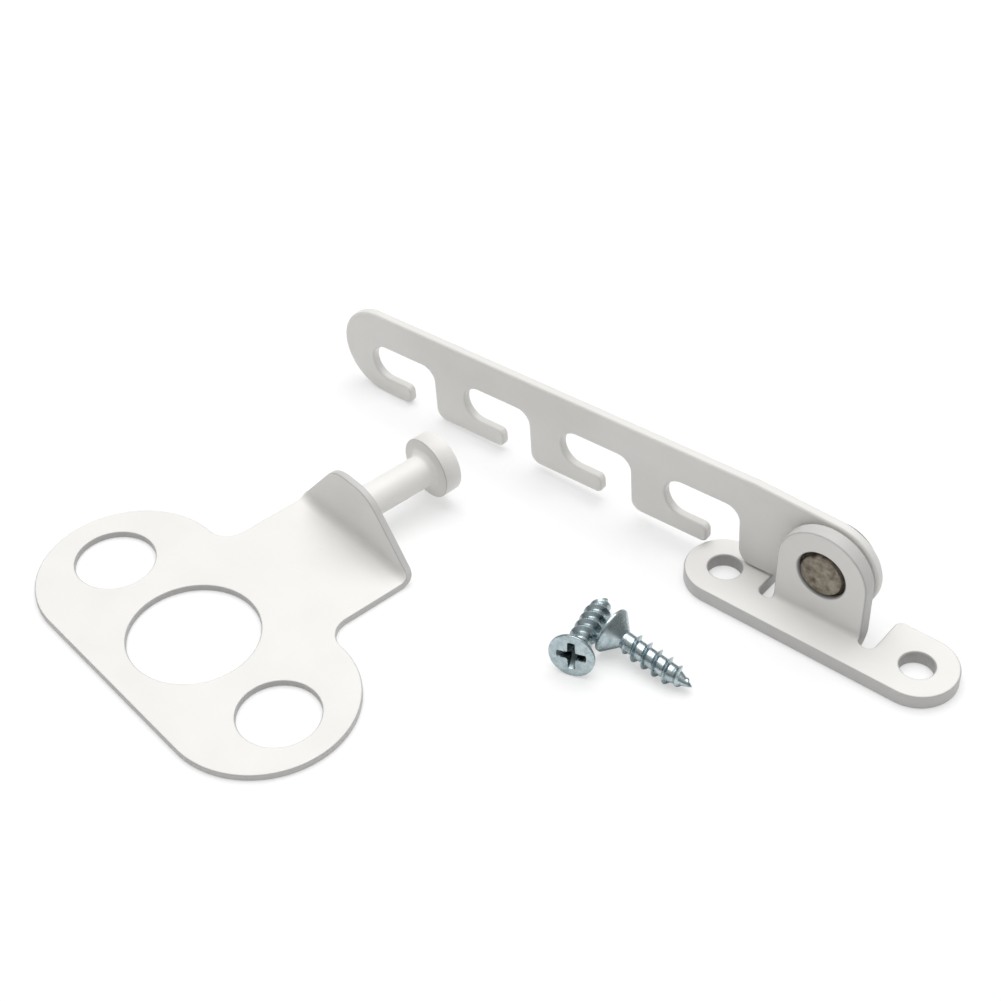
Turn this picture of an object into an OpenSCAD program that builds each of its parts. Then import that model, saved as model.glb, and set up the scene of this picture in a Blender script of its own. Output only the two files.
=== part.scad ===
// Notched window restrictor: a pivot bracket with its comb lever, a strike plate with its stud,
// and two wood screws, laid out side by side on one flat surface.
// Millimetres, +Z up. The origin lies on the underside of the bracket, midway between its
// screw holes, with +X along the line of those holes and +Y towards the ear.

/* [Bracket] */
// Distance between the two screw holes
hole_spacing = 33.2; // [30:0.1:45]
// Diameter of each screw hole
screw_hole_d = 5.2; // [3.5:0.1:6]
// Width of the base strip, also the diameter of its round ends
base_w = 12.5; // [11:0.1:20]
// Thickness of the bracket sheet
bracket_t = 2.5; // [1.5:0.1:3]
// Width of the upright ear, also the diameter of its round top
ear_w = 15; // [13:0.1:18]
// Height of the pivot axis over the underside
pivot_h = 11; // [10.9:0.1:14]
// How far the ear's front face stands behind the line of the screw holes, negative in front
ear_face_y = -0.7; // [-1.5:0.1:0.5]
// Inside radius of the ear's bend
ear_bend_r = 0.8; // [0.4:0.1:1.5]
// Width of the relief slot on each side of the ear
relief_w = 2.4; // [1.5:0.1:3]
// Radius on the corners of the base beside the relief slots
wing_r = 1.2; // [0.5:0.1:2]

/* [Pivot] */
// Diameter of the rivet's shank
rivet_d = 8; // [6:0.1:9]
// Diameter of the rivet's rear head
rivet_head_d = 12; // [10.5:0.1:13]
// Thickness of the rivet's rear head
rivet_head_t = 1.5; // [1:0.1:2.5]
// Height of the hammered end over the ear's face
rivet_proud = 0.15; // [0.05:0.05:0.5]
// Width of the slope round the hammered end
rivet_slope = 1; // [0.5:0.1:2]
// Play between the rivet and the comb's bore, on the radius
pivot_play = 0.05; // [0.02:0.01:0.1]
// Thickness of the spacer washer between the ear and the comb
washer_t = 0.4; // [0.3:0.1:1]
// Outer diameter of the spacer washer
washer_d = 12; // [10:0.1:14]
// End play between neighbouring parts on the rivet
side_play = 0.02; // [0.01:0.01:0.05]

/* [Comb] */
// Thickness of the comb
comb_t = 1.6; // [1.2:0.1:3]
// Number of notches
notch_count = 4; // [2:1:5]
// Distance from one notch to the next
notch_pitch = 20.15; // [19:0.05:26]
// Distance from the pivot to the far side of the opening nearest to it
first_tooth_x = 16.2; // [15:0.1:20]
// Height of the notch, which takes the stud
notch_h = 6.4; // [5.8:0.1:6.6]
// Depth of the notch from its inner end to the tooth
notch_l = 13.6; // [13.2:0.1:14.5]
// Width of the opening that the stud enters by
opening_w = 5.8; // [5.6:0.1:6.6]
// Height of the comb's top edge over the pivot
comb_top = 8.65; // [8.2:0.05:9.5]
// Width of metal between the last notch and the far end
far_wall = 6.3; // [4:0.1:9]
// Depth of the teeth under the pivot
tooth_depth = 7.45; // [7.3:0.05:7.6]
// Height of each hook under its notch
hook_h = 3.3; // [2.8:0.1:3.4]
// Radius on both corners of each hook's tip
hook_r = 1.1; // [0.5:0.1:1.3]
// Radius of the comb's root about the pivot
root_r = 7.7; // [7:0.1:7.9]
// Where the top edge starts to fall towards the root
shoulder_x = 13.5; // [12:0.1:15]
// Radius in the upper corner of each opening
opening_r = 2.4; // [1.5:0.1:2.6]
// Radius on the lower corner of each tooth
tooth_r = 1.9; // [1:0.1:2.2]
// Radius in the corner between the root and the first opening
root_corner_r = 2.4; // [1:0.1:3]
// Height of the comb's far end over the surface
rest_gap = 0.05; // [0.02:0.01:0.3]

/* [Strike plate] */
// Distance from the middle hole to each outer hole
outer_hole_x = 21.5; // [19.5:0.1:26]
// Diameter of each outer hole
outer_hole_d = 12.5; // [8:0.1:13]
// Diameter of the middle hole
middle_hole_d = 20.2; // [16:0.1:20.6]
// Overall length of the plate
plate_l = 63.6; // [60:0.1:72]
// Width of the plate, also the diameter of its round ends
plate_w = 29.4; // [27:0.1:34]
// Thickness of the strike plate sheet
plate_t = 1.2; // [1:0.1:2]
// Width of the neck
neck_w = 26.4; // [22:0.1:28]
// Radius in the corners between neck and plate
neck_r = 4; // [2:0.1:6]
// Distance from the middle hole to the tab's near face
tab_y = 30.6; // [26:0.1:36]
// Inside radius of the tab's bend
tab_bend_r = 1.5; // [0.8:0.1:2]
// Height of the tab's top edge over the surface
tab_h = 12.6; // [12:0.1:16]
// Width of the tab's top edge
tab_top_w = 8.2; // [6:0.1:12]
// Angle of the tab's slanting sides to its foot
tab_side_a = 50; // [46:0.5:54]
// Radius on the two upper corners of the tab
tab_r = 6; // [1:0.1:6.2]

/* [Stud] */
// Diameter of the stud's shank
stud_d = 5.4; // [4.5:0.1:5.5]
// Diameter of the stud's head
stud_head_d = 10.3; // [8:0.1:12]
// Thickness of the stud's head
stud_head_t = 3.2; // [2:0.1:4]
// Length of shank between the tab and the head
stud_reach = 13.5; // [10:0.1:20]
// Height of the stud's axis over the surface
stud_h = 6.7; // [6.2:0.1:7]
// Diameter of the spigot riveted into the tab
spigot_d = 4; // [3:0.1:4.4]
// Radius of the fillet between shank and head
stud_fillet = 0.8; // [0.3:0.1:1.5]
// Chamfer on the rim of the head
stud_chamfer = 0.4; // [0.2:0.1:0.8]

/* [Screws] */
// Length of each screw over all
screw_l = 15; // [12:0.5:25]
// Diameter of the screw head
screw_head_d = 7.2; // [6.5:0.1:8]
// Height of the cylindrical rim of the head
screw_rim_h = 0.4; // [0.2:0.1:0.8]
// Diameter over the thread
thread_d = 4; // [3:0.1:4.5]
// Diameter of the core
core_d = 2.7; // [2:0.1:3]
// Distance between thread crests
thread_pitch = 1.9; // [1.2:0.1:2.2]
// Length of the thread's slope towards the head
thread_rise = 0.4; // [0.2:0.05:0.6]
// Length of the thread's flat crest
thread_crest = 0.05; // [0.02:0.01:0.2]
// Length of the thread's slope towards the tip
thread_fall = 0.2; // [0.1:0.05:0.4]
// Length of the pointed tip
tip_l = 3.4; // [2.5:0.1:4.5]
// Width across one arm of the cross recess
recess_w = 1.15; // [0.8:0.05:1.4]
// Span of the cross recess
recess_span = 4.6; // [3.5:0.1:5]
// Depth of the cross recess
recess_depth = 1.8; // [1:0.1:2.2]

/* [Layout] */
// Place of the strike plate's middle hole, along X
plate_x = -71.9; // [-100:0.1:-65]
// Place of the strike plate's middle hole, along Y
plate_y = -58.7; // [-90:0.1:-55]
// Turn of the strike plate about its middle hole
plate_turn = -9.6; // [-20:0.1:20]
// Place of the first screw's face, along X
screw_1_x = -23.1; // [-26:0.1:-22]
// Place of the first screw's face, along Y
screw_1_y = -29.8; // [-50:0.1:-29]
// Direction in which the first screw points
screw_1_turn = 106.2; // [100:0.1:115]
// Turn of the first screw about its own axis
screw_1_spin = -4; // [-45:1:45]
// Place of the second screw's face, along X
screw_2_x = -21.8; // [-21.8:0.1:-10]
// Place of the second screw's face, along Y
screw_2_y = -22.1; // [-23:0.1:-18]
// Direction in which the second screw points
screw_2_turn = -1.4; // [-5:0.1:5]
// Turn of the second screw about its own axis
screw_2_spin = 30; // [0:1:90]

/* [Hidden] */
$fn = 96;
eps = 0.01;
through = 40;

// Bracket
base_l = hole_spacing + base_w;
bend_y = ear_face_y - ear_bend_r;
ear_back_y = ear_face_y + bracket_t;
ear_foot_z = bracket_t + ear_bend_r;

// Pivot stack, from the ear towards +Y
washer_y = ear_back_y + side_play;
comb_y = washer_y + washer_t + side_play;
comb_back_y = comb_y + comb_t;
rivet_head_y = comb_back_y + side_play;

// Comb, in its own flat frame: x along the arm with the far end at -x, y up, pivot at the origin
notch_bottom = hook_h - tooth_depth;
notch_top = notch_bottom + notch_h;
notch_r = notch_h / 2;
last_tooth_x = -first_tooth_x - (notch_count - 1) * notch_pitch;
far_r = (comb_top + tooth_depth) / 2;
far_y = (comb_top - tooth_depth) / 2;
far_x = last_tooth_x - notch_l - far_wall + far_r;
far_d = norm([far_x, far_y]);
comb_tilt = asin((pivot_h - far_r - rest_gap) / far_d) + atan2(far_y, -far_x);
shoulder = [-shoulder_x, comb_top];
shoulder_d = norm(shoulder);
tangent_a = atan2(comb_top, -shoulder_x) - acos(root_r / shoulder_d);
fall_end = (root_r - 2 * eps) * [cos(tangent_a), sin(tangent_a)];

// Strike plate, in its own frame: origin at the middle hole, +Y along the neck
plate_end_x = (plate_l - plate_w) / 2;
tab_bend_y = tab_y - tab_bend_r;
tab_foot_z = plate_t + tab_bend_r;
tab_drop = (neck_w - tab_top_w) / 2 * tan(tab_side_a);

// Screws: they lie on the rim of the head and on the last full crest of the thread
crest_x = screw_l - tip_l;
screw_tilt = atan((screw_head_d - thread_d) / 2 / (crest_x - screw_rim_h));
screw_h = screw_head_d / 2 * cos(screw_tilt) + screw_rim_h * sin(screw_tilt);
cone_l = (screw_head_d - core_d) / 2;
crest_count = floor((crest_x - screw_rim_h - cone_l) / thread_pitch);

// A plate of the flat shape, standing upright with its front face at y and its back at y + t
module upright(y, t) {
    translate([0, y + t, 0]) rotate([90, 0, 0]) linear_extrude(t) children();
}

// A strip with round ends, lying on the surface
module strip_2d(length, width) {
    end_x = (length - width) / 2;
    square([2 * end_x, width], center = true);
    translate([end_x, 0]) circle(d = width);
    translate([-end_x, 0]) circle(d = width);
}

// What is left of a square corner outside a rounding of radius r; the corner is at the origin
module corner_2d(r) {
    difference() {
        translate([-eps, -eps]) square(r + eps);
        translate([r, r]) circle(r);
    }
}

// A quarter bend that leaves the flat at z = 0..t in the direction +Y and ends upright
module bend(width, r, t) {
    translate([-width / 2, 0, t + r]) rotate([0, 90, 0])
        rotate_extrude(angle = 90) translate([r, 0]) square([t, width]);
}

module base_2d() {
    cut_w = ear_w + 2 * relief_w;
    slot_x = (ear_w + relief_w) / 2;
    slot_y = bend_y + relief_w / 2;
    difference() {
        strip_2d(base_l, base_w);
        translate([-hole_spacing / 2, 0]) circle(d = screw_hole_d);
        translate([hole_spacing / 2, 0]) circle(d = screw_hole_d);
        translate([-cut_w / 2, slot_y]) square([cut_w, base_w]);
        translate([-ear_w / 2, bend_y]) square([ear_w, base_w]);
        translate([-slot_x, slot_y]) circle(d = relief_w);
        translate([slot_x, slot_y]) circle(d = relief_w);
        translate([cut_w / 2, base_w / 2]) mirror([0, 1]) corner_2d(wing_r);
        translate([-cut_w / 2, base_w / 2]) rotate(180) corner_2d(wing_r);
    }
}

module ear_2d() {
    difference() {
        union() {
            translate([-ear_w / 2, ear_foot_z]) square([ear_w, pivot_h - ear_foot_z]);
            translate([0, pivot_h]) circle(d = ear_w);
        }
        translate([0, pivot_h]) circle(d = rivet_d);
    }
}

module bracket() {
    color("gainsboro") {
        linear_extrude(bracket_t) base_2d();
        translate([0, bend_y, 0]) bend(ear_w, ear_bend_r, bracket_t);
        upright(ear_face_y, bracket_t) ear_2d();
    }
}

// The opening, the notch behind it and the rounded lower corner of its tooth;
// the origin is on the tooth's straight edge, at the height of the pivot
module notch_2d() {
    tip_x = -opening_w - hook_r;
    difference() {
        union() {
            translate([-notch_l + notch_r, notch_bottom]) square([notch_l - notch_r, notch_h]);
            translate([-notch_l + notch_r, notch_bottom + notch_r]) circle(notch_r);
            translate([tip_x, -through]) square([-tip_x, through + notch_bottom + eps]);
        }
        translate([0, notch_top]) rotate(180) corner_2d(opening_r);
        translate([tip_x, notch_bottom - hook_r]) circle(hook_r);
        translate([tip_x, hook_r - tooth_depth]) circle(hook_r);
        translate([tip_x, hook_r - tooth_depth]) square([hook_r, hook_h - 2 * hook_r]);
    }
}

module comb_2d() {
    difference() {
        union() {
            translate([far_x, far_y]) circle(far_r);
            polygon([[far_x, -tooth_depth], [-first_tooth_x, -tooth_depth],
                     [-first_tooth_x, -root_r], [0, -root_r], fall_end, shoulder,
                     [far_x, comb_top]]);
            circle(root_r);
        }
        for (i = [0 : notch_count - 1]) {
            translate([-first_tooth_x - i * notch_pitch, 0]) notch_2d();
        }
        for (i = [1 : notch_count - 1]) {
            translate([-first_tooth_x - i * notch_pitch, -tooth_depth]) corner_2d(tooth_r);
        }
        translate([-first_tooth_x, -root_r]) corner_2d(root_corner_r);
        circle(rivet_d / 2 + pivot_play);
    }
}

module comb_lever() {
    color("gainsboro") translate([0, 0, pivot_h]) rotate([0, -comb_tilt, 0])
        upright(comb_y, comb_t) comb_2d();
}

// Shank with a slightly domed hammered end in front and a flat round head behind the comb
module pivot_rivet() {
    shank_l = rivet_head_y - ear_face_y;
    tip_d = rivet_d - 2 * rivet_slope;
    color("rosybrown") translate([0, ear_face_y, pivot_h]) rotate([-90, 0, 0]) {
        cylinder(h = shank_l, d = rivet_d);
        translate([0, 0, -rivet_proud]) cylinder(h = rivet_proud, d1 = tip_d, d2 = rivet_d);
        translate([0, 0, shank_l]) cylinder(h = rivet_head_t, d = rivet_head_d);
    }
}

module pivot_washer() {
    color("silver") translate([0, washer_y, pivot_h]) rotate([-90, 0, 0]) difference() {
        cylinder(h = washer_t, d = washer_d);
        translate([0, 0, -eps]) cylinder(h = washer_t + 2 * eps, r = rivet_d / 2 + pivot_play);
    }
}

module plate_2d() {
    neck_corner = [neck_w / 2, plate_w / 2];
    difference() {
        union() {
            strip_2d(plate_l, plate_w);
            translate([-neck_w / 2, 0]) square([neck_w, tab_bend_y]);
            for (side = [0, 1]) {
                mirror([side, 0]) translate(neck_corner) corner_2d(neck_r);
            }
        }
        circle(d = middle_hole_d);
        translate([-outer_hole_x, 0]) circle(d = outer_hole_d);
        translate([outer_hole_x, 0]) circle(d = outer_hole_d);
    }
}

// The tab's outline: a foot as wide as the neck, slanting sides and a short top edge
module tab_2d() {
    top_x = tab_top_w / 2;
    knee_z = max(tab_h - tab_drop, tab_foot_z);
    knee_x = top_x + (tab_h - knee_z) / tan(tab_side_a);
    round_back = tab_r * tan(tab_side_a / 2);
    round_x = top_x - round_back;
    cut_x = top_x + round_back * cos(tab_side_a);
    cut_z = tab_h - round_back * sin(tab_side_a);
    difference() {
        union() {
            polygon([[-knee_x, tab_foot_z], [knee_x, tab_foot_z], [knee_x, knee_z], [cut_x, cut_z],
                     [round_x, tab_h - tab_r], [-round_x, tab_h - tab_r], [-cut_x, cut_z],
                     [-knee_x, knee_z]]);
            translate([-round_x, tab_h - tab_r]) square([2 * round_x, tab_r]);
            translate([round_x, tab_h - tab_r]) circle(tab_r);
            translate([-round_x, tab_h - tab_r]) circle(tab_r);
        }
        translate([0, stud_h]) circle(d = spigot_d);
    }
}

// Puts a piece drawn in the strike plate's frame in its place on the surface
module in_plate_frame() {
    translate([plate_x, plate_y, 0]) rotate(plate_turn) children();
}

module strike_plate() {
    color("gainsboro") in_plate_frame() {
        linear_extrude(plate_t) plate_2d();
        translate([0, tab_bend_y, 0]) bend(neck_w, tab_bend_r, plate_t);
        upright(tab_y, plate_t) tab_2d();
    }
}

// Half outline of the stud: x is the radius, y the distance from the tab's near face
module stud_half_2d() {
    shank_y = plate_t;
    head_y = plate_t + stud_reach;
    head_r = stud_head_d / 2;
    shank_r = stud_d / 2;
    square([spigot_d / 2, shank_y + eps]);
    translate([0, shank_y]) square([shank_r, stud_reach + eps]);
    difference() {
        translate([0, head_y - stud_fillet]) square([shank_r + stud_fillet, stud_fillet + eps]);
        translate([shank_r + stud_fillet, head_y - stud_fillet]) circle(stud_fillet);
    }
    polygon([[0, head_y], [head_r - stud_chamfer, head_y], [head_r, head_y + stud_chamfer],
             [head_r, head_y + stud_head_t - stud_chamfer],
             [head_r - stud_chamfer, head_y + stud_head_t], [0, head_y + stud_head_t]]);
}

module strike_stud() {
    color("gainsboro") in_plate_frame() translate([0, tab_y, stud_h]) rotate([-90, 0, 0])
        rotate_extrude() stud_half_2d();
}

// Half outline of a screw: x is the radius, y the distance from the face of the head
module screw_half_2d() {
    head_r = screw_head_d / 2;
    core_r = core_d / 2;
    crest_r = thread_d / 2;
    cone_y = screw_rim_h + cone_l;
    polygon([[0, 0], [head_r, 0], [head_r, screw_rim_h], [core_r, cone_y], [core_r, crest_x],
             [0, screw_l]]);
    for (i = [0 : crest_count - 1]) {
        y = crest_x - i * thread_pitch;
        foot_y = y - thread_crest - thread_rise;
        polygon([[0, foot_y], [core_r, foot_y], [crest_r, y - thread_crest], [crest_r, y],
                 [core_r, y + thread_fall], [0, y + thread_fall]]);
    }
}

// Cross recess, narrowing with its depth
module cross_recess() {
    intersection() {
        union() {
            cube([recess_span, recess_w, 2 * recess_depth], center = true);
            cube([recess_w, recess_span, 2 * recess_depth], center = true);
        }
        translate([0, 0, -eps])
            cylinder(h = recess_depth + eps, d1 = recess_span, d2 = recess_w);
    }
}

// A screw lying on the surface, its face at the place given and its tip pointing along the turn
module lying_screw(x, y, turn, spin) {
    color("lightsteelblue") translate([x, y, screw_h]) rotate([0, 0, turn])
        rotate([0, 90 + screw_tilt, 0]) rotate([0, 0, spin]) difference() {
            rotate_extrude() screw_half_2d();
            cross_recess();
        }
}

module screw_1() {
    lying_screw(screw_1_x, screw_1_y, screw_1_turn, screw_1_spin);
}

module screw_2() {
    lying_screw(screw_2_x, screw_2_y, screw_2_turn, screw_2_spin);
}

bracket();
comb_lever();
pivot_rivet();
pivot_washer();
strike_plate();
strike_stud();
screw_1();
screw_2();
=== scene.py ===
"""Looks of a notched window restrictor kit: bracket with comb lever, strike plate with stud, two screws.

Every sub-assembly is a class that builds its own meshes with numpy. The pieces on the rivet take their
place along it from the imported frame. Other sizes and places repeat the named sizes of the part's source,
in millimetres; MM turns them into metres.
"""

import logging
import math
from dataclasses import dataclass, field
from enum import Enum

import bmesh
import bpy
import numpy as np
from mathutils import Matrix, Vector
from mathutils.geometry import tessellate_polygon

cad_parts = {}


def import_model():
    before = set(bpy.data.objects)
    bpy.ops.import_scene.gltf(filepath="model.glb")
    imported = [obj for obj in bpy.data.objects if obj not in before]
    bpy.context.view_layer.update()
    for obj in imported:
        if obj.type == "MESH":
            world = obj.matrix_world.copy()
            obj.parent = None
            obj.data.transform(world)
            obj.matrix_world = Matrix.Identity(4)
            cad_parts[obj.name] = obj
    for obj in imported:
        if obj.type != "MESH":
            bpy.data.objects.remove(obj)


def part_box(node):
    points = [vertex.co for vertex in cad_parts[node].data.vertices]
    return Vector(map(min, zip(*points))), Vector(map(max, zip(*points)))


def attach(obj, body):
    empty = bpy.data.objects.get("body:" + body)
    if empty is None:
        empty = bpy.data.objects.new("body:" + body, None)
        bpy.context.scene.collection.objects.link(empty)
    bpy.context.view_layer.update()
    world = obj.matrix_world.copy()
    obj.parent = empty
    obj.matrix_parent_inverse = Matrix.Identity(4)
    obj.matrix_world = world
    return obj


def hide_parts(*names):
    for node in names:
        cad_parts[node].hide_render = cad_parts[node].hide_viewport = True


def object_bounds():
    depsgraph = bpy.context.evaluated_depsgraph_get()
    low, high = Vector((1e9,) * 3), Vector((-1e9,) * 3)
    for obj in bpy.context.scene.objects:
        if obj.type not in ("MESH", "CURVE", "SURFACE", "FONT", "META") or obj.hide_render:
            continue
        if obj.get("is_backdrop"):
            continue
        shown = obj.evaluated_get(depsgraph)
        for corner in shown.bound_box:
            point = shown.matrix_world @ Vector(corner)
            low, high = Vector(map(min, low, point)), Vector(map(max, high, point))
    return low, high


logging.basicConfig(level=logging.INFO, format="%(name)s: %(message)s")
LOG = logging.getLogger("restrictor")

MM: float = 0.001


class Slot(Enum):
    """Material slots and their names."""

    COAT = "white_coat"
    RIVET = "rivet_steel"
    WASHER = "washer_steel"
    ZINC = "zinc_steel"


class ToneAndShade(Enum):
    """Colours that a finish takes on where a mesh attribute of the same name says so, linear: greyer cut
    sides (a thinner coat with painted shade), a painted dark edge line, and painted shade in recesses.
    """

    # Greyer cut sides: partly a thinner coat on the cut metal, partly painted shade on the upright sides and
    # in the holes' walls.
    SIDE = (0.40, 0.395, 0.39)
    # A painted dark line along the middle of each rounded edge and round the rim of the stud's head.
    LINE = (0.22, 0.22, 0.23)
    # Painted shade in the screws' cross recesses, darker where the recess is deeper.
    RECESS_SHADE = (0.03, 0.045, 0.055)


@dataclass(frozen=True)
class Finish:
    """A procedural finish on Object coordinates: a base colour, a mottle over it and a fine relief.

    Attributes:
        name: Name of the Blender material.
        color: Base colour, linear.
        mottle: Colour that the mottle mixes towards, linear.
        mottle_mm: Size of the mottle's patches.
        mottle_amount: How far the mottle is mixed in, 0 to 1.
        metallic: 1 for bare metal, 0 for paint.
        roughness: Mean roughness.
        roughness_spread: How much the roughness varies over the surface.
        relief_mm: Size of the relief's bumps.
        relief_depth_mm: Depth of the relief.
        specular: Specular level of paint.
    """

    name: str
    color: tuple[float, float, float]
    mottle: tuple[float, float, float]
    mottle_mm: float
    mottle_amount: float
    metallic: float
    roughness: float
    roughness_spread: float
    relief_mm: float
    relief_depth_mm: float
    specular: float = 0.5

    def build(self) -> bpy.types.Material:
        """Makes the material.

        Returns:
            The new material, with all its values set on the sockets.
        """
        mat = bpy.data.materials.new(self.name)
        mat.use_nodes = True
        nodes, links = mat.node_tree.nodes, mat.node_tree.links
        shader = nodes["Principled BSDF"]
        shader.inputs["Metallic"].default_value = self.metallic
        shader.inputs["Specular IOR Level"].default_value = self.specular
        place = nodes.new("ShaderNodeTexCoord")
        patches = self._noise(nodes, links, place, self.mottle_mm, 3.0)
        grain = self._noise(nodes, links, place, self.relief_mm, 2.0)
        mix = nodes.new("ShaderNodeMix")
        mix.data_type = "RGBA"
        mix.inputs["A"].default_value = (*self.color, 1.0)
        mix.inputs["B"].default_value = (*self.mottle, 1.0)
        share = self._spread(nodes, links, patches, 0.35, 0.65, 0.0, self.mottle_amount)
        links.new(share, mix.inputs["Factor"])
        color = mix.outputs["Result"]
        # Mixes in the greyer cut sides (thinner coat with painted shade), the painted dark edge line and the
        # painted shade in recesses.
        for tone_and_shade in ToneAndShade:
            color = self._mixed_toward(nodes, links, color, tone_and_shade)
        links.new(color, shader.inputs["Base Color"])
        low, high = self.roughness - self.roughness_spread, self.roughness + self.roughness_spread
        links.new(self._spread(nodes, links, patches, 0.3, 0.7, low, high), shader.inputs["Roughness"])
        bump = nodes.new("ShaderNodeBump")
        bump.inputs["Strength"].default_value = 1.0
        bump.inputs["Distance"].default_value = self.relief_depth_mm * MM
        links.new(grain.outputs["Fac"], bump.inputs["Height"])
        links.new(bump.outputs["Normal"], shader.inputs["Normal"])
        return mat

    @staticmethod
    def _mixed_toward(nodes, links, color, tone_and_shade: "ToneAndShade") -> bpy.types.NodeSocket:
        """The colour mixed towards one mark's colour (cut-side tone with painted shade, painted dark edge
        line, painted recess shade), as far as the mesh's attribute of that name says.
        """
        amount = nodes.new("ShaderNodeAttribute")
        amount.attribute_name = tone_and_shade.name.lower()
        mix = nodes.new("ShaderNodeMix")
        mix.data_type = "RGBA"
        mix.inputs["B"].default_value = (*tone_and_shade.value, 1.0)
        links.new(amount.outputs["Fac"], mix.inputs["Factor"])
        links.new(color, mix.inputs["A"])
        return mix.outputs["Result"]

    @staticmethod
    def _noise(nodes, links, place, size_mm: float, detail: float) -> bpy.types.Node:
        """A noise whose patches have about the size given, on Object coordinates."""
        noise = nodes.new("ShaderNodeTexNoise")
        noise.inputs["Scale"].default_value = 1.0 / (size_mm * MM)
        noise.inputs["Detail"].default_value = detail
        links.new(place.outputs["Object"], noise.inputs["Vector"])
        return noise

    @staticmethod
    def _spread(nodes, links, noise, f0: float, f1: float, t0: float, t1: float) -> bpy.types.NodeSocket:
        """The noise's values from f0 to f1, spread out over t0 to t1 and held within them."""
        ramp = nodes.new("ShaderNodeMapRange")
        ramp.clamp = True
        for key, value in (("From Min", f0), ("From Max", f1), ("To Min", t0), ("To Max", t1)):
            ramp.inputs[key].default_value = value
        links.new(noise.outputs["Fac"], ramp.inputs["Value"])
        return ramp.outputs["Result"]


FINISHES: dict[Slot, Finish] = {
    Slot.COAT: Finish("powder_coat", (0.80, 0.79, 0.765), (0.76, 0.75, 0.725), 9.0, 0.6,
                      0.0, 0.42, 0.05, 0.9, 0.012, 0.4),
    Slot.RIVET: Finish("hammered_steel", (0.27, 0.24, 0.195), (0.10, 0.085, 0.065), 1.2, 0.9,
                       1.0, 0.42, 0.12, 0.7, 0.05),
    Slot.WASHER: Finish("plain_steel", (0.42, 0.42, 0.42), (0.30, 0.30, 0.30), 1.5, 0.5,
                        1.0, 0.40, 0.08, 0.4, 0.01),
    Slot.ZINC: Finish("zinc_plate", (0.48, 0.56, 0.585), (0.30, 0.375, 0.40), 0.8, 0.7,
                      1.0, 0.30, 0.09, 0.35, 0.010),
}


class Palette:
    """Builds each finish once and hands it to the pieces."""

    def __init__(self) -> None:
        self._made: dict[Slot, bpy.types.Material] = {s: f.build() for s, f in FINISHES.items()}

    def dress(self, obj: bpy.types.Object, slot: Slot) -> None:
        """Gives a piece its finish.

        Args:
            obj: The piece.
            slot: Which finish it takes.
        """
        obj.data.materials.clear()
        obj.data.materials.append(self._made[slot])


@dataclass
class Outline:
    """A closed outline in the plane, given by its corners and the radius of each corner.

    Attributes:
        corners: n x 2 corner points in mm, counter-clockwise for a piece and clockwise for a hole.
        radii: Radius of each corner in mm, 0 for a sharp one.
        steps: Number of points on each rounded corner.
    """

    corners: np.ndarray
    radii: np.ndarray
    steps: int = 14

    @classmethod
    def of(cls, *rows: tuple[float, float, float], steps: int = 14) -> "Outline":
        """Makes an outline from rows of x, y, radius."""
        table = np.array(rows, float)
        return cls(table[:, :2], table[:, 2], steps)

    @classmethod
    def hole(cls, x: float, y: float, radius: float, count: int = 96) -> np.ndarray:
        """Points of a round hole, clockwise."""
        a = -np.linspace(0, 2 * np.pi, count, endpoint=False)
        return np.stack([x + radius * np.cos(a), y + radius * np.sin(a)], 1)

    def points(self) -> np.ndarray:
        """Points along the outline.

        At each corner the path turns by an angle phi, so the rounding starts r * tan(|phi| / 2) before
        the corner and its centre stands r to the inner side of the path there.

        Returns:
            m x 2 points in mm, without doubles.
        """
        p = self.corners
        before = p - np.roll(p, 1, 0)
        after = np.roll(p, -1, 0) - p
        d1 = before / np.linalg.norm(before, axis=1, keepdims=True)
        d2 = after / np.linalg.norm(after, axis=1, keepdims=True)
        phi = np.arctan2(d1[:, 0] * d2[:, 1] - d1[:, 1] * d2[:, 0], (d1 * d2).sum(1))
        side = np.sign(phi)[:, None]
        radius = self.radii[:, None]
        start = p - d1 * (self.radii * np.tan(np.abs(phi) / 2))[:, None]
        inward = np.stack([-d1[:, 1], d1[:, 0]], 1) * side
        centre = start + inward * radius
        turn = phi[:, None] * np.linspace(0, 1, self.steps)[None, :]
        c, s = np.cos(turn), np.sin(turn)
        spoke = -(inward * radius)[:, None, :]
        arc = np.stack([spoke[..., 0] * c - spoke[..., 1] * s, spoke[..., 0] * s + spoke[..., 1] * c], -1)
        path = (centre[:, None, :] + arc).reshape(-1, 2)
        keep = np.linalg.norm(path - np.roll(path, 1, 0), axis=1) > 1e-3
        return path[keep]


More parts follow.
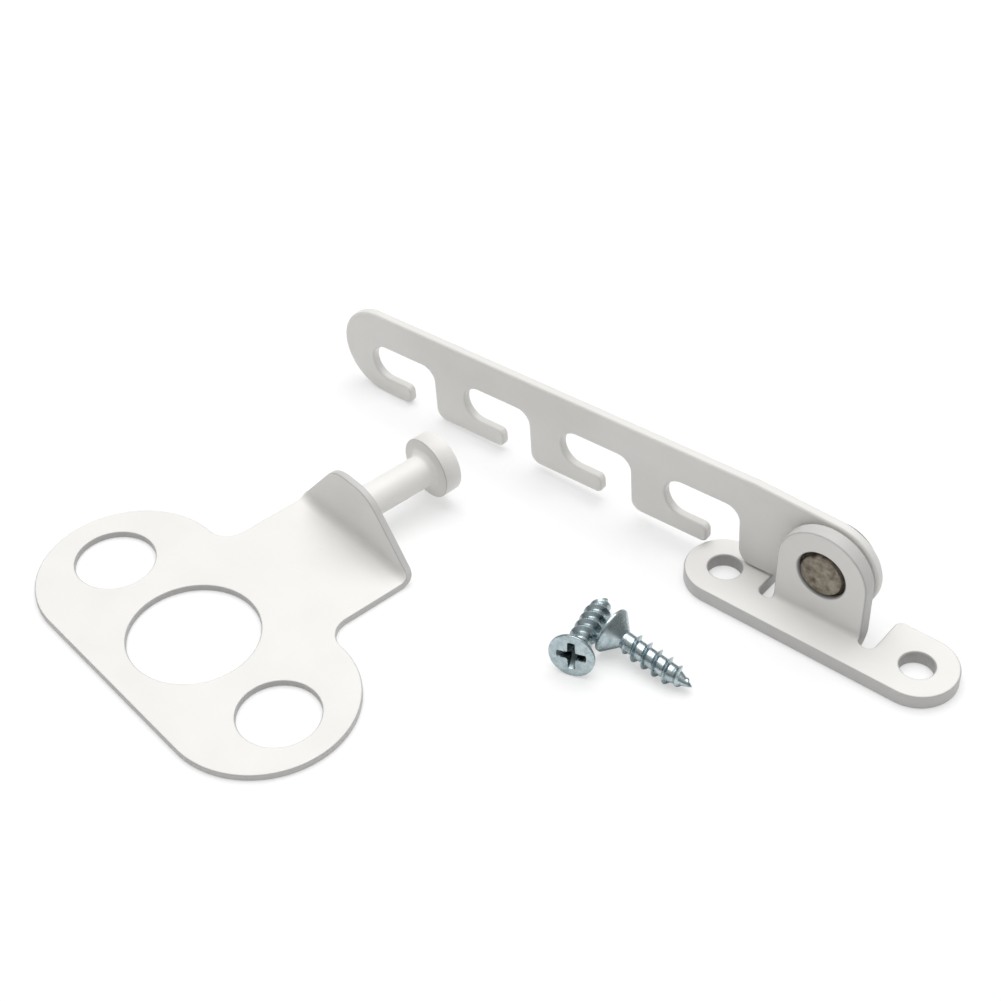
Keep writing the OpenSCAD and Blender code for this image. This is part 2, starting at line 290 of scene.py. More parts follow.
class MeshTools:
    """Turns numpy arrays into mesh objects."""

    @staticmethod
    def from_arrays(name: str, verts_mm: np.ndarray, faces: list, smooth_angle: float = 40.0,
                    tone_and_shade: dict[ToneAndShade, np.ndarray] | None = None) -> bpy.types.Object:
        """Makes an object from vertices in mm and faces, with its faces turned outward.

        Args:
            name: Name of the object.
            verts_mm: n x 3 vertices in mm, in the row frame.
            faces: Lists of vertex numbers.
            smooth_angle: Edges sharper than this stay sharp, in degrees.
            tone_and_shade: How far each vertex takes on each mark's colour (cut-side tone with painted shade,
                painted dark edge line, painted recess shade), 0 to 1.

        Returns:
            The linked object, at the origin and unturned.
        """
        mesh = bpy.data.meshes.new(name)
        mesh.from_pydata((verts_mm * MM).tolist(), [], faces)
        mesh.update()
        bm = bmesh.new()
        bm.from_mesh(mesh)
        bmesh.ops.recalc_face_normals(bm, faces=bm.faces[:])
        bm.to_mesh(mesh)
        bm.free()
        for kind, amount in (tone_and_shade or {}).items():
            layer = mesh.attributes.new(kind.name.lower(), "FLOAT", "POINT")
            layer.data.foreach_set("value", np.asarray(amount, np.float32))
        mesh.shade_smooth()
        mesh.set_sharp_from_angle(angle=math.radians(smooth_angle))
        obj = bpy.data.objects.new(name, mesh)
        bpy.context.scene.collection.objects.link(obj)
        return obj

    @staticmethod
    def grid_faces(rows: int, cols: int) -> np.ndarray:
        """Quads of a tube of rows x cols vertices that closes on itself along its columns."""
        r, c = np.meshgrid(np.arange(rows - 1), np.arange(cols), indexing="ij")
        n = (c + 1) % cols
        corners = [r * cols + c, r * cols + n, (r + 1) * cols + n, (r + 1) * cols + c]
        return np.stack(corners, -1).reshape(-1, 4)

    @staticmethod
    def end_faces(rows: int, cols: int) -> list:
        """The two faces that close a tube of rows x cols vertices at its ends."""
        return [list(range(cols))[::-1], list(range((rows - 1) * cols, rows * cols))]


@dataclass
class Sheet:
    """A flat sheet with rounded edges that may be bent up along one line.

    Attributes:
        loops: The outline and then each hole, as points in mm.
        thickness: Thickness in mm.
        edge: Radius of the edges in mm.
        side_coat_and_shade: How grey the cut sides are, of the outline and of the holes, 0 to 1: a thinner
            coat on the cut metal with painted shade, more in the holes.
        edge_line_dark: How dark the painted line along each rounded edge is, 0 to 1.
        arc_steps: Number of faces across each rounded edge.
        hold: Width of the flat strip between a rounded edge and the filled face, in mm.
        verts: Vertices, set when the sheet is made.
        tone_and_shade: Cut-side tone with painted shade, and the painted dark edge line, of each vertex; set
            when the sheet is made.
        faces: Faces, set when the sheet is made.
    """

    loops: list[np.ndarray]
    thickness: float
    edge: float
    # Cut sides are greyer for the thinner coat and for painted shade, more in the holes' walls.
    side_coat_and_shade: tuple[float, float] = (0.6, 0.85)
    edge_line_dark: float = 0.6
    arc_steps: int = 8
    hold: float = 0.05
    verts: np.ndarray = field(init=False)
    tone_and_shade: dict = field(init=False)
    faces: list = field(init=False)

    def __post_init__(self) -> None:
        """Builds rings from the lower face round the edge to the upper face, then fills both faces.

        A ring stands inside the outline by r * (1 - sin a) and over the lower face by r * (1 - cos a),
        with a from 0 to 90 degrees; the upper half mirrors it. One more ring on each face, a little
        further in, keeps the shading of the face flat. The painted dark edge line is a bell curve over a
        about the middle of the rounding. The side's tone, partly a thinner coat on the cut metal and partly
        painted shade, rises evenly towards 90 degrees.
        """
        a = np.linspace(0, np.pi / 2, self.arc_steps + 1)
        inset = self.edge * (1 - np.sin(a))
        rise = self.edge * (1 - np.cos(a))
        inset = np.concatenate([[self.edge + self.hold], inset, inset[::-1], [self.edge + self.hold]])
        height = np.concatenate([[0.0], rise, self.thickness - rise[::-1], [self.thickness]])
        # The side's tone ramps up as the rounding turns upright, painted shade together with the thinner
        # coat; the dark line is painted at the middle of the rounding.
        side_from, side_span, line_at, line_width = 0.6, 0.8, 0.8, 0.35
        side = np.clip((a - side_from) / side_span, 0, 1)
        line = np.exp(-(((a - line_at) / line_width) ** 2))
        side = np.concatenate([[0.0], side, side[::-1], [0.0]])
        line = np.concatenate([[0.0], line, line[::-1], [0.0]])
        sides, lines = [], []
        parts, faces, low, high, base = [], [], [], [], 0
        for number, loop in enumerate(self.loops):
            count, rings = len(loop), len(inset)
            inner = self._inset_direction(loop)
            ring = loop[None] + inner[None] * inset[:, None, None]
            z = np.broadcast_to(height[:, None, None], (rings, count, 1))
            parts.append(np.concatenate([ring, z], 2).reshape(-1, 3))
            sides.append(np.repeat(side * self.side_coat_and_shade[min(number, 1)], count))
            lines.append(np.repeat(line * self.edge_line_dark, count))
            faces.append(MeshTools.grid_faces(rings, count) + base)
            low.append(base + np.arange(count))
            high.append(base + (rings - 1) * count + np.arange(count))
            base += rings * count
        self.verts = np.concatenate(parts)
        self.tone_and_shade = {ToneAndShade.SIDE: np.concatenate(sides), ToneAndShade.LINE: np.concatenate(lines)}
        caps = self._fill(low) + self._fill(high)
        self.faces = np.concatenate(faces).tolist() + caps

    @staticmethod
    def _inset_direction(loop: np.ndarray) -> np.ndarray:
        """Unit-step direction into the metal at each point: the mitre of its two edges."""
        d1 = loop - np.roll(loop, 1, 0)
        d2 = np.roll(loop, -1, 0) - loop
        n1 = np.stack([-d1[:, 1], d1[:, 0]], 1) / np.linalg.norm(d1, axis=1, keepdims=True)
        n2 = np.stack([-d2[:, 1], d2[:, 0]], 1) / np.linalg.norm(d2, axis=1, keepdims=True)
        return (n1 + n2) / (1 + (n1 * n2).sum(1, keepdims=True))

    def _fill(self, rings: list[np.ndarray]) -> list:
        """Triangles that fill the face between the outline's ring and the holes' rings."""
        numbers = np.concatenate(rings)
        lists = [[Vector((x, y, 0.0)) for x, y in self.verts[r, :2]] for r in rings]
        return [[int(numbers[i]) for i in tri] for tri in tessellate_polygon(lists)]

    def build(self, name: str, cuts: np.ndarray | None = None) -> bpy.types.Object:
        """Makes the flat sheet as an object, cut across at the given y values so that it can be bent.

        Args:
            name: Name of the object.
            cuts: y values in mm at which the mesh gets a line of edges, or None.

        Returns:
            The object, still flat.
        """
        obj = MeshTools.from_arrays(name, self.verts, self.faces, tone_and_shade=self.tone_and_shade)
        if cuts is not None:
            bm = bmesh.new()
            bm.from_mesh(obj.data)
            for y in cuts:
                bmesh.ops.bisect_plane(bm, geom=bm.verts[:] + bm.edges[:] + bm.faces[:], dist=1e-7,
                                       plane_co=(0, y * MM, 0), plane_no=(0, 1, 0))
            bmesh.ops.triangulate(bm, faces=bm.faces[:])
            bm.to_mesh(obj.data)
            bm.free()
        return obj


@dataclass(frozen=True)
class Bend:
    """A right-angle bend that turns a sheet lying on z = 0..t upwards.

    Attributes:
        at: y of the start of the bend, in mm.
        radius: Inside radius in mm.
        thickness: Sheet thickness in mm.
        half_width: Only what lies within this x is bent, in mm.
    """

    at: float
    radius: float
    thickness: float
    half_width: float = 1e3

    @property
    def length(self) -> float:
        """Length of the bend along the middle of the sheet."""
        return math.pi / 2 * (self.radius + self.thickness / 2)

    def flat(self, height: float) -> float:
        """y in the flat sheet of what ends at this height once bent."""
        return self.at + self.length + height - self.thickness - self.radius

    def cuts(self, count: int = 14) -> np.ndarray:
        """y values at which the flat sheet needs edges."""
        return np.linspace(self.at, self.at + self.length, count)

    def apply(self, obj: bpy.types.Object) -> None:
        """Bends the object's mesh.

        Past the start of the bend a point turns about the bend's centre by its distance along the
        sheet over the middle radius, at most 90 degrees; what is left of that distance goes straight
        up. Its own radius is the outer radius less its height in the flat sheet.
        """
        co = Verts.read(obj) / MM
        x, y, z = co.T
        past = (y > self.at) & (np.abs(x) < self.half_width)
        along = np.clip(y - self.at, 0, self.length)
        turn = along / (self.radius + self.thickness / 2)
        rest = np.clip(y - self.at - self.length, 0, None)
        centre_z = self.radius + self.thickness
        own = centre_z - z
        bent = np.stack([x, self.at + own * np.sin(turn), centre_z - own * np.cos(turn) + rest], 1)
        Verts.write(obj, np.where(past[:, None], bent, co) * MM)


class Verts:
    """Reads and writes all vertices of a mesh at once."""

    @staticmethod
    def read(obj: bpy.types.Object) -> np.ndarray:
        """All vertices as an n x 3 array, in metres."""
        co = np.empty(len(obj.data.vertices) * 3)
        obj.data.vertices.foreach_get("co", co)
        return co.reshape(-1, 3)

    @staticmethod
    def write(obj: bpy.types.Object, co: np.ndarray) -> None:
        """Puts all vertices at the places given, in metres."""
        obj.data.vertices.foreach_set("co", co.ravel())
        obj.data.update()

    @classmethod
    def move(cls, obj: bpy.types.Object, matrix: Matrix) -> None:
        """Moves the mesh itself, so that the object stays at the origin."""
        m = np.array(matrix)
        cls.write(obj, cls.read(obj) @ m[:3, :3].T + m[:3, 3])


@dataclass
class Lathe:
    """A turned piece about +Z, given by its half outline.

    Attributes:
        radius: Radius at each point of the half outline, in mm; a closed ring starts and ends alike.
        height: Height at each point, in mm.
        ring: True for a ring, whose half outline closes on itself away from the axis.
        cols: Number of points round the axis.
    """

    radius: np.ndarray
    height: np.ndarray
    ring: bool = False
    cols: int = 96

    def build(self, name: str, tone_and_shade: dict[ToneAndShade, np.ndarray] | None = None) -> bpy.types.Object:
        """Makes the piece by turning every point of the half outline round the axis."""
        a = np.linspace(0, 2 * np.pi, self.cols, endpoint=False)
        r, h = self.radius[:, None], self.height[:, None]
        verts = np.stack([r * np.cos(a), r * np.sin(a), h + 0 * a], -1).reshape(-1, 3)
        rows = len(self.radius)
        faces = MeshTools.grid_faces(rows, self.cols).tolist()
        if self.ring:
            last = (rows - 1) * self.cols
            j = np.arange(self.cols)
            k = (j + 1) % self.cols
            faces += np.stack([last + j, last + k, k, j], -1).tolist()
        else:
            faces += MeshTools.end_faces(rows, self.cols)
        return MeshTools.from_arrays(name, verts, faces, tone_and_shade=tone_and_shade)


def rounded_profile(rows: list[tuple[float, float, float]], steps: int = 6) -> tuple[np.ndarray, np.ndarray]:
    """A half outline with rounded corners.

    Args:
        rows: radius, height, corner radius of each corner, in mm; the first and last stay as given.
        steps: Number of points on each rounded corner.

    Returns:
        Radii and heights of the points.
    """
    table = np.array(rows, float)
    table[[0, -1], 2] = 0
    path = Outline(table[:, :2], table[:, 2], steps).points()
    return path[:, 0], path[:, 1]


@dataclass(frozen=True)
class BracketShape:
    """Sizes of the bracket in mm."""

    hole_spacing: float = 33.2
    hole_d: float = 5.2
    width: float = 12.5
    thickness: float = 2.5
    ear_width: float = 15.0
    pivot_height: float = 11.0
    bend_at: float = -1.5
    bend_radius: float = 0.8
    relief: float = 2.4
    wing_radius: float = 1.2
    bend_margin: float = 0.2
    rivet_d: float = 8.0
    edge: float = 0.35


@dataclass(frozen=True)
class CombShape:
    """Sizes of the comb lever in mm, in its own flat frame with the pivot at the origin."""

    thickness: float = 1.6
    notches: int = 4
    pitch: float = 20.15
    first_tooth: float = 16.2
    notch_height: float = 6.4
    notch_length: float = 13.6
    opening: float = 5.8
    top: float = 8.65
    tooth_depth: float = 7.45
    hook: float = 3.3
    root: float = 7.7
    shoulder: float = 13.5
    far_wall: float = 6.3
    opening_radius: float = 2.4
    tooth_radius: float = 1.9
    root_corner: float = 2.4
    bore: float = 4.05
    edge: float = 0.45
    rest_gap: float = 0.05
    hook_radius: float = 1.1
    shoulder_radius: float = 4.0
    # How grey the comb's cut sides are (thinner coat with painted shade) and how dark its painted edge line
    # is.
    tone_and_shade: float = 0.12
    edge_line_dark: float = 0.16

    def outline(self) -> np.ndarray:
        """The comb's outline, counter-clockwise, starting at the far end's lower corner."""
        far_r = (self.top + self.tooth_depth) / 2
        far = -self.first_tooth - (self.notches - 1) * self.pitch - self.notch_length - self.far_wall
        rows: list[tuple[float, float, float]] = [(far, -self.tooth_depth, far_r)]
        low, floor = -self.tooth_depth, self.hook - self.tooth_depth
        roof, tip = floor + self.notch_height, self.hook_radius
        for k in reversed(range(self.notches)):
            x = -self.first_tooth - k * self.pitch
            foot = (x, low, self.tooth_radius) if k else (x, -self.root, self.root_corner)
            inner = self.notch_height / 2
            rows += [(x - self.opening, low, tip), (x - self.opening, floor, tip),
                     (x - self.notch_length, floor, inner), (x - self.notch_length, roof, inner),
                     (x, roof, self.opening_radius), foot]
        reach = math.hypot(self.shoulder, self.top)
        lean = math.atan2(self.top, -self.shoulder) - math.acos(self.root / reach)
        rows += [(self.root, -self.root, self.root), (self.root, self.root * math.tan(lean / 2), self.root),
                 (-self.shoulder, self.top, self.shoulder_radius), (far, self.top, far_r)]
        return Outline.of(*rows, steps=20).points()

    def tilt(self, pivot_height: float) -> float:
        """Angle by which the far end hangs lower than the pivot so that it all but rests, in radians."""
        far_r = (self.top + self.tooth_depth) / 2
        rise = (self.top - self.tooth_depth) / 2
        run = self.first_tooth + (self.notches - 1) * self.pitch + self.notch_length + self.far_wall - far_r
        drop = pivot_height - far_r - self.rest_gap
        return math.asin(drop / math.hypot(run, rise)) + math.atan2(rise, run)


class Piece:
    """A piece that rides on a body, stands for a CAD node and takes a finish."""

    def __init__(self, palette: Palette) -> None:
        self.palette = palette

    def settle(self, obj: bpy.types.Object, body: str, node: str, slot: Slot) -> None:
        """Ties the finished mesh to the frame.

        Args:
            obj: The mesh, in place.
            body: CAD body that it moves with.
            node: CAD node that it stands for.
            slot: Finish.
        """
        self.palette.dress(obj, slot)
        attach(obj, body)
        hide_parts(node)
        low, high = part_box(node)
        LOG.info("%s: %d faces for %s, box %s to %s mm", obj.name, len(obj.data.polygons), node,
                 [round(v / MM, 2) for v in low], [round(v / MM, 2) for v in high])


class BracketSet(Piece):
    """Bracket, rivet, washer and the comb lever on them."""

    shape = BracketShape()
    comb = CombShape()

    def build(self) -> None:
        """Builds the four pieces."""
        self._bracket()
        self._comb()
        self._rivet()
        self._washer()

    def _bracket(self) -> None:
        """The base strip with its ear, drawn flat with rounded edges and then bent."""
        s = self.shape
        bend = Bend(s.bend_at, s.bend_radius, s.thickness, s.ear_width / 2 + s.relief / 2 + s.bend_margin)
        end, half = (s.hole_spacing + s.width) / 2, s.width / 2
        ear, slot = s.ear_width / 2, s.ear_width / 2 + s.relief
        top = bend.flat(s.pivot_height + ear)
        r, wing = s.relief / 2, s.wing_radius
        outline = Outline.of((-end, -half, half), (end, -half, half), (end, half, half), (slot, half, wing),
                             (slot, s.bend_at, r), (ear, s.bend_at, r), (ear, top, ear), (-ear, top, ear),
                             (-ear, s.bend_at, r), (-slot, s.bend_at, r), (-slot, half, wing),
                             (-end, half, half), steps=24).points()
        loops = [outline,
                 Outline.hole(-s.hole_spacing / 2, 0, s.hole_d / 2),
                 Outline.hole(s.hole_spacing / 2, 0, s.hole_d / 2),
                 Outline.hole(0, bend.flat(s.pivot_height), s.rivet_d / 2)]
        obj = Sheet(loops, s.thickness, s.edge).build("bracket_looks", bend.cuts())
        bend.apply(obj)
        self.settle(obj, "bracket", "bracket", Slot.COAT)

    def _comb(self) -> None:
        """The notched lever, drawn flat, stood upright and tilted about the pivot."""
        c = self.comb
        back_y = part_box("comb_lever")[1].y
        loops = [c.outline(), Outline.hole(0, 0, c.bore)]
        # The comb's cut sides take a little grey (thinner coat with painted shade) and a faint painted dark
        # edge line.
        sheet = Sheet(loops, c.thickness, c.edge, (c.tone_and_shade, c.tone_and_shade), c.edge_line_dark)
        obj = sheet.build("comb_looks")
        upright = Matrix.Rotation(math.pi / 2, 4, "X")
        tilt = Matrix.Rotation(-c.tilt(self.shape.pivot_height), 4, "Y")
        place = Matrix.Translation((0, back_y, self.shape.pivot_height * MM))
        Verts.move(obj, place @ tilt @ upright)
        self.settle(obj, "comb", "comb_lever", Slot.COAT)

    def _rivet(self) -> None:
        """Shank with a hammered, slightly domed end in the ear and a flat head behind the comb.

        The hammered end is a shallow dome that carries a few broad dents: its height falls with the
        cube of the radius and is pressed in by waves that run across it.
        """
        low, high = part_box("pivot_rivet")
        y0, y1 = low.y / MM, high.y / MM
        head_r, shank_r = (high.x - low.x) / 2 / MM, self.shape.rivet_d / 2
        proud, head_t, edge, cap_edge, pole = 0.15, 1.5, 0.25, 0.65, 0.05
        ends = np.linspace(pole, 1, 26)
        cap_r = (shank_r - cap_edge) * ends
        cap_h = proud * ends**3
        full = y1 - y0
        rows = [(shank_r - cap_edge, proud, 0), (shank_r - 0.35, proud + 0.55, 0.1),
                (shank_r, proud + 0.8, 0.1), (shank_r, full - head_t, 0.05),
                (head_r, full - head_t, edge), (head_r, full, edge), (pole, full, 0)]
        body_r, body_h = rounded_profile(rows)
        obj = Lathe(np.concatenate([cap_r, body_r]), np.concatenate([cap_h, body_h])).build("rivet_looks")
        co = Verts.read(obj) / MM
        x, y, z = co.T
        far = np.clip(1 - np.hypot(x, y) / shank_r, 0, 1)
        dents = np.sin(1.9 * x + 0.7 * y + 0.4) * np.sin(1.3 * y - 0.9 * x + 1.1) * np.sqrt(far)
        near = z < proud + 0.01
        z = np.where(near, np.clip(z + 0.10 * dents + 0.02, 0, None), z)
        co = np.stack([x, y, z], 1) * MM
        Verts.write(obj, co)
        turn = Matrix.Rotation(-math.pi / 2, 4, "X")
        Verts.move(obj, Matrix.Translation((0, low.y, self.shape.pivot_height * MM)) @ turn)
        self.settle(obj, "bracket", "pivot_rivet", Slot.RIVET)

    def _washer(self) -> None:
        """A thin ring with rounded edges between the ear and the comb."""
        low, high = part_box("pivot_washer")
        t, outer, inner = (high.y - low.y) / MM, (high.x - low.x) / 2 / MM, self.comb.bore
        in_edge, out_edge = 0.1, 0.12
        ring = Outline.of((inner, 0, in_edge), (outer, 0, out_edge), (outer, t, out_edge),
                          (inner, t, in_edge), steps=5).points()
        obj = Lathe(ring[:, 0], ring[:, 1], ring=True).build("washer_looks")
        turn = Matrix.Rotation(-math.pi / 2, 4, "X")
        Verts.move(obj, Matrix.Translation((0, low.y, self.shape.pivot_height * MM)) @ turn)
        self.settle(obj, "bracket", "pivot_washer", Slot.WASHER)


@dataclass(frozen=True)
class StrikeShape:
    """Sizes of the strike plate and its stud in mm, in the plate's own frame."""

    at: tuple[float, float] = (-71.9, -58.7)
    turn_deg: float = -9.6
    outer_x: float = 21.5
    outer_d: float = 12.5
    middle_d: float = 20.2
    length: float = 63.6
    width: float = 29.4
    thickness: float = 1.2
    neck: float = 26.4
    neck_radius: float = 3.85
    tab_y: float = 30.6
    bend_radius: float = 1.5
    tab_height: float = 12.6
    tab_top: float = 8.2
    tab_angle_deg: float = 50.0
    tab_radius: float = 6.0
    foot_radius: float = 2.2
    edge: float = 0.28
    stud_d: float = 5.4
    head_d: float = 10.3
    head_t: float = 3.2
    reach: float = 13.5
    stud_height: float = 6.7
    spigot_d: float = 4.0

    def place(self) -> Matrix:
        """From the plate's own frame to the row frame, in metres."""
        move = Matrix.Translation((self.at[0] * MM, self.at[1] * MM, 0))
        return move @ Matrix.Rotation(math.radians(self.turn_deg), 4, "Z")


class StrikeSet(Piece):
    """Strike plate and the stud in its tab."""

    shape = StrikeShape()

    def build(self) -> None:
        """Builds the two pieces."""
        self._plate()
        self._stud()

    def _plate(self) -> None:
        """The plate with its three holes, its neck and its upturned tab."""
        s = self.shape
        bend = Bend(s.tab_y - s.bend_radius, s.bend_radius, s.thickness)
        end, half, neck, top = s.length / 2, s.width / 2, s.neck / 2, s.tab_top / 2
        foot = bend.flat(s.tab_height) - (neck - top) * math.tan(math.radians(s.tab_angle_deg))
        crown = bend.flat(s.tab_height)
        outline = Outline.of((-end, -half, half), (end, -half, half), (end, half, half),
                             (neck, half, s.neck_radius), (neck, foot, s.foot_radius),
                             (top, crown, s.tab_radius), (-top, crown, s.tab_radius),
                             (-neck, foot, s.foot_radius), (-neck, half, s.neck_radius),
                             (-end, half, half), steps=32).points()
        loops = [outline, Outline.hole(0, 0, s.middle_d / 2, 144)]
        loops += [Outline.hole(x, 0, s.outer_d / 2, 120) for x in (-s.outer_x, s.outer_x)]
        obj = Sheet(loops, s.thickness, s.edge).build("strike_plate_looks", bend.cuts())
        bend.apply(obj)
        Verts.move(obj, s.place())
        self.settle(obj, "strike", "strike_plate", Slot.COAT)

    def _stud(self) -> None:
        """The stud, a fillet of coat at its foot and a rounded head; its spigot ends under the tab's coat."""
        s = self.shape
        r, head, t = s.stud_d / 2, s.head_d / 2, s.thickness
        top = t + s.reach
        rows = [(0.05, 0.3, 0), (s.spigot_d / 2, 0.3, 0.1), (s.spigot_d / 2, t, 0),
                (r + 0.3, t, 0), (r, t + 0.35, 0.3), (r, top - 0.9, 0.7), (r + 0.8, top, 0.6),
                (head, top, 0.18), (head, top + s.head_t, 0.35), (0.05, top + s.head_t, 0)]
        radius, height = rounded_profile(rows, 8)
        # A painted dark line round the edge where the head's underside meets its rim.
        near = np.exp(-(((radius - head) / 0.12) ** 2) - ((height - top) / 0.15) ** 2)
        lathe = Lathe(radius, height, cols=128)
        obj = lathe.build("stud_looks", {ToneAndShade.LINE: np.repeat(0.75 * near, lathe.cols)})
        turn = Matrix.Rotation(-math.pi / 2, 4, "X")
        Verts.move(obj, s.place() @ Matrix.Translation((0, s.tab_y * MM, s.stud_height * MM)) @ turn)
        self.settle(obj, "strike", "strike_stud", Slot.COAT)


@dataclass(frozen=True)
class ScrewShape:
    """Sizes of a screw in mm."""

    length: float = 15.0
    head_d: float = 7.2
    rim: float = 0.4
    thread_d: float = 4.0
    core_d: float = 2.7
    pitch: float = 1.9
    tip: float = 3.4
    recess_width: float = 1.15
    recess_span: float = 4.6
    recess_depth: float = 1.8
    cols: int = 168


@dataclass(frozen=True)
class ScrewPlace:
    """Where a loose screw lies: its face's place in mm, its direction and its spin in degrees."""

    node: str
    body: str
    x: float
    y: float
    turn_deg: float
    spin_deg: float


class ScrewPiece(Piece):
    """A countersunk wood screw with a cross recess, lying on the surface."""

    shape = ScrewShape()

    def __init__(self, palette: Palette, place: ScrewPlace) -> None:
        super().__init__(palette)
        self.place = place

    def _profile(self) -> tuple[np.ndarray, np.ndarray]:
        """Radius and height of each row, from the middle of the face to the point."""
        s = self.shape
        head, core = s.head_d / 2, s.core_d / 2
        edge, pole = 0.12, 0.02
        face_r = np.linspace(pole, head - edge, 64)
        face_h = np.zeros_like(face_r)
        a = np.linspace(0, np.pi / 2, 5)[1:]
        rim_r = head - edge + edge * np.sin(a)
        rim_h = edge * (1 - np.cos(a))
        neck_h = np.linspace(s.rim, s.rim + head - core, 14)
        neck_r = np.interp(neck_h, [s.rim, s.rim + head - core], [head, core])
        shank_h = np.linspace(s.rim + head - core + 0.05, s.length - pole, 260)
        taper = np.clip((s.length - shank_h) / s.tip, 0, 1)
        shank_r = core * taper**0.8 + pole
        radius = np.concatenate([face_r, rim_r, neck_r, shank_r])
        return radius, np.concatenate([face_h, rim_h, neck_h, shank_h])

    def build(self) -> None:
        """Builds the screw as one surface of rows and columns.

        The thread adds to the core's radius a ridge that goes once round the screw for each pitch: its
        height is the fall-off of the distance to the nearest crest line, steep on the tip's side. The
        recess sinks the face where a point lies within either arm of the cross, deeper towards the
        middle.
        """
        s = self.shape
        radius, height = self._profile()
        a = np.linspace(0, 2 * np.pi, s.cols, endpoint=False)[None, :]
        r = np.repeat(radius[:, None], s.cols, 1)
        h = np.repeat(height[:, None], s.cols, 1)
        first = s.rim + (s.head_d - s.core_d) / 2 + 0.4
        crest = (s.length - s.tip - h) / s.pitch + a / (2 * np.pi)
        off = (crest - np.floor(crest)) * s.pitch
        gentle, steep, crest_cut = 0.5, 0.26, 0.92
        slope = np.where(off < s.pitch / 2, 1 - off / gentle, 1 - (s.pitch - off) / steep)
        ridge = np.clip(slope, 0, crest_cut) / crest_cut
        fade_in = np.clip((h - first) / 0.8, 0, 1)
        bare_tip = 0.25
        fade_out = np.clip((s.length - bare_tip - h) / (s.tip - bare_tip), 0, 1) ** 0.75
        r = r + (s.thread_d - s.core_d) / 2 * ridge * fade_in * fade_out
        x, y = r * np.cos(a), r * np.sin(a)
        arm = np.minimum(np.abs(x), np.abs(y))
        far = np.hypot(x, y)
        half_arm, half_span, wall_slope = s.recess_width / 2, s.recess_span / 2, 0.10
        flare = 0.1 * np.exp(-(((far - 0.7) / 0.35) ** 2))
        wall = np.clip((half_arm + flare - arm) / wall_slope, 0, 1)
        deep = np.clip((half_span - far) / (half_span - half_arm), 0, 1) ** 0.7
        on_face = (h < 1e-6) & (r < s.head_d / 2 - 0.5)
        h = np.where(on_face, s.recess_depth * wall * deep, h)
        verts = np.stack([x, y, h], -1).reshape(-1, 3)
        # Painted shade in the cross recess: its walls and floor darken, more towards the middle where it is
        # deeper.
        recess_shading = np.where(on_face, np.clip(wall * deep * 1.3, 0, 0.85), 0.0).ravel()
        faces = MeshTools.grid_faces(len(radius), s.cols).tolist()
        faces += MeshTools.end_faces(len(radius), s.cols)
        obj = MeshTools.from_arrays(f"{self.place.node}_looks", verts, faces, 50.0, {ToneAndShade.RECESS_SHADE: recess_shading})
        self._lay(obj)
        self.settle(obj, self.place.body, self.place.node, Slot.ZINC)

    def _lay(self, obj: bpy.types.Object) -> None:
        """Lays the screw on the rim of its head and the last crest of its thread."""
        s, p = self.shape, self.place
        tilt = math.atan((s.head_d - s.thread_d) / 2 / (s.length - s.tip - s.rim))
        rise = s.head_d / 2 * math.cos(tilt) + s.rim * math.sin(tilt)
        place = Matrix.Translation((p.x * MM, p.y * MM, rise * MM))
        place = place @ Matrix.Rotation(math.radians(p.turn_deg), 4, "Z")
        place = place @ Matrix.Rotation(math.pi / 2 + tilt, 4, "Y")
        Verts.move(obj, place @ Matrix.Rotation(math.radians(p.spin_deg), 4, "Z"))


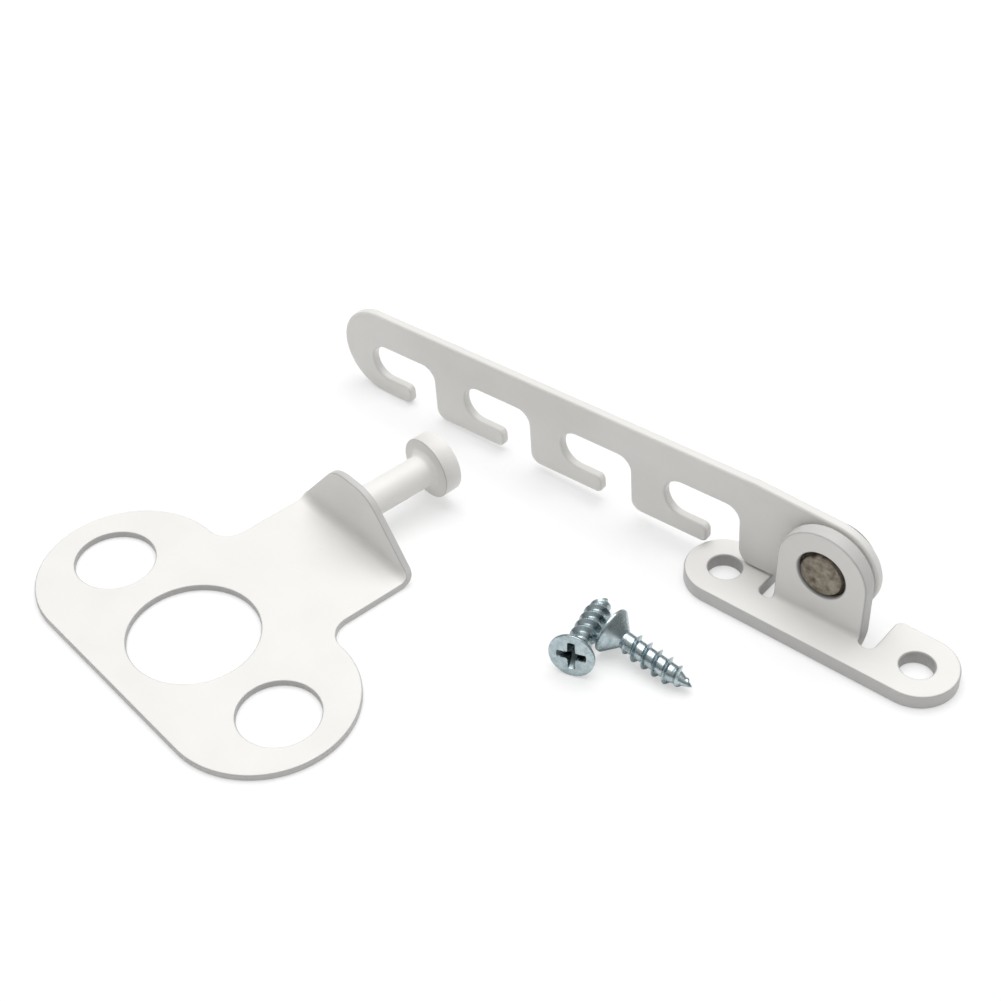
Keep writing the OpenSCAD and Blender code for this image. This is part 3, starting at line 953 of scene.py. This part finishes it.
class Studio:
    """White floor, soft light from above and the camera."""

    camera_mm = (92.58, -178.06, 204.92)
    right = (0.7739, 0.6326, -0.0295)
    up = (-0.4085, 0.5343, 0.7400)
    back = (0.4838, -0.5606, 0.6720)
    lens_mm = 68.36

    def build(self) -> None:
        """Sets up floor, light and camera."""
        self._floor()
        self._light()
        self._camera()

    def _floor(self) -> None:
        """A wide pale floor, seen half lit and half plain white so that shadows stay faint."""
        mesh = bpy.data.meshes.new("floor")
        mesh.from_pydata([(-3, -3, 0), (3, -3, 0), (3, 3, 0), (-3, 3, 0)], [], [(0, 1, 2, 3)])
        floor = bpy.data.objects.new("floor", mesh)
        bpy.context.scene.collection.objects.link(floor)
        mat = bpy.data.materials.new("floor")
        mat.use_nodes = True
        shader = mat.node_tree.nodes["Principled BSDF"]
        shader.inputs["Base Color"].default_value = (0.93, 0.93, 0.93, 1)
        shader.inputs["Roughness"].default_value = 0.9
        shader.inputs["Specular IOR Level"].default_value = 0.1
        tree = mat.node_tree
        glow = tree.nodes.new("ShaderNodeEmission")
        glow.inputs["Color"].default_value = (1.0, 1.0, 1.0, 1)
        glow.inputs["Strength"].default_value = 1.0
        seen = tree.nodes.new("ShaderNodeLightPath")
        part = tree.nodes.new("ShaderNodeMath")
        part.operation = "MULTIPLY"
        part.inputs[1].default_value = 0.5
        both = tree.nodes.new("ShaderNodeMixShader")
        tree.links.new(seen.outputs["Is Camera Ray"], part.inputs[0])
        tree.links.new(part.outputs["Value"], both.inputs["Fac"])
        tree.links.new(shader.outputs["BSDF"], both.inputs[1])
        tree.links.new(glow.outputs["Emission"], both.inputs[2])
        tree.links.new(both.outputs["Shader"], tree.nodes["Material Output"].inputs["Surface"])
        mesh.materials.append(mat)
        floor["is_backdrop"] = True

    def _light(self) -> None:
        """A large soft box overhead and a dim even surround."""
        world = bpy.data.worlds.new("surround")
        bpy.context.scene.world = world
        world.use_nodes = True
        nodes, links = world.node_tree.nodes, world.node_tree.links
        place = nodes.new("ShaderNodeTexCoord")
        split = nodes.new("ShaderNodeSeparateXYZ")
        ramp = nodes.new("ShaderNodeMapRange")
        for key, value in (("From Min", 0.1), ("From Max", 0.7), ("To Min", 0.10), ("To Max", 0.55)):
            ramp.inputs[key].default_value = value
        links.new(place.outputs["Generated"], split.inputs["Vector"])
        links.new(split.outputs["Z"], ramp.inputs["Value"])
        links.new(ramp.outputs["Result"], nodes["Background"].inputs["Strength"])
        nodes["Background"].inputs["Color"].default_value = (1.0, 1.0, 1.0, 1)
        self._area("soft_box", (-0.15, 0.15, 0.9), (-0.03, -0.03, 0.0), 0.9, 7.9)

    @staticmethod
    def _area(name: str, at: tuple, to: tuple, size: float, power: float) -> None:
        """A square lamp at one place, facing another, all in metres and watts."""
        lamp = bpy.data.lights.new(name, "AREA")
        lamp.size = size
        lamp.energy = power
        obj = bpy.data.objects.new(name, lamp)
        bpy.context.scene.collection.objects.link(obj)
        aim = (Vector(to) - Vector(at)).to_track_quat("-Z", "Y")
        obj.matrix_world = Matrix.Translation(at) @ aim.to_matrix().to_4x4()
        obj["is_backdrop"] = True

    def _camera(self) -> None:
        cam = bpy.data.cameras.new("camera")
        cam.lens = self.lens_mm
        cam.sensor_width = 36.0
        obj = bpy.data.objects.new("camera", cam)
        bpy.context.scene.collection.objects.link(obj)
        axes = Matrix((self.right, self.up, self.back)).transposed().to_4x4()
        obj.matrix_world = Matrix.Translation(Vector(self.camera_mm) * MM) @ axes
        bpy.context.scene.camera = obj
        bpy.context.scene.view_settings.view_transform = "Standard"


class Kit:
    """The whole kit, put together in the frame."""

    def __init__(self) -> None:
        palette = Palette()
        self.pieces: list[Piece] = [
            BracketSet(palette),
            StrikeSet(palette),
            ScrewPiece(palette, ScrewPlace("screw_1", "loose_screw_1", -23.1, -29.8, 106.2, -4.0)),
            ScrewPiece(palette, ScrewPlace("screw_2", "loose_screw_2", -21.8, -22.1, -1.4, 30.0)),
        ]

    def build(self) -> None:
        """Builds every piece."""
        for piece in self.pieces:
            piece.build()


def plain_bounds(bounds) -> object:
    """Bounds as plain lists that can be written as JSON."""
    if isinstance(bounds, dict):
        return {k: plain_bounds(v) for k, v in bounds.items()}
    if isinstance(bounds, (int, float, str)) or bounds is None:
        return bounds
    return [plain_bounds(v) for v in bounds]


def main() -> None:
    """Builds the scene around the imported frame."""
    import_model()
    before = plain_bounds(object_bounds())
    Kit().build()
    Studio().build()
    {"frame": before, "scene": plain_bounds(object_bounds())}


if __name__ == "__main__":
    main()
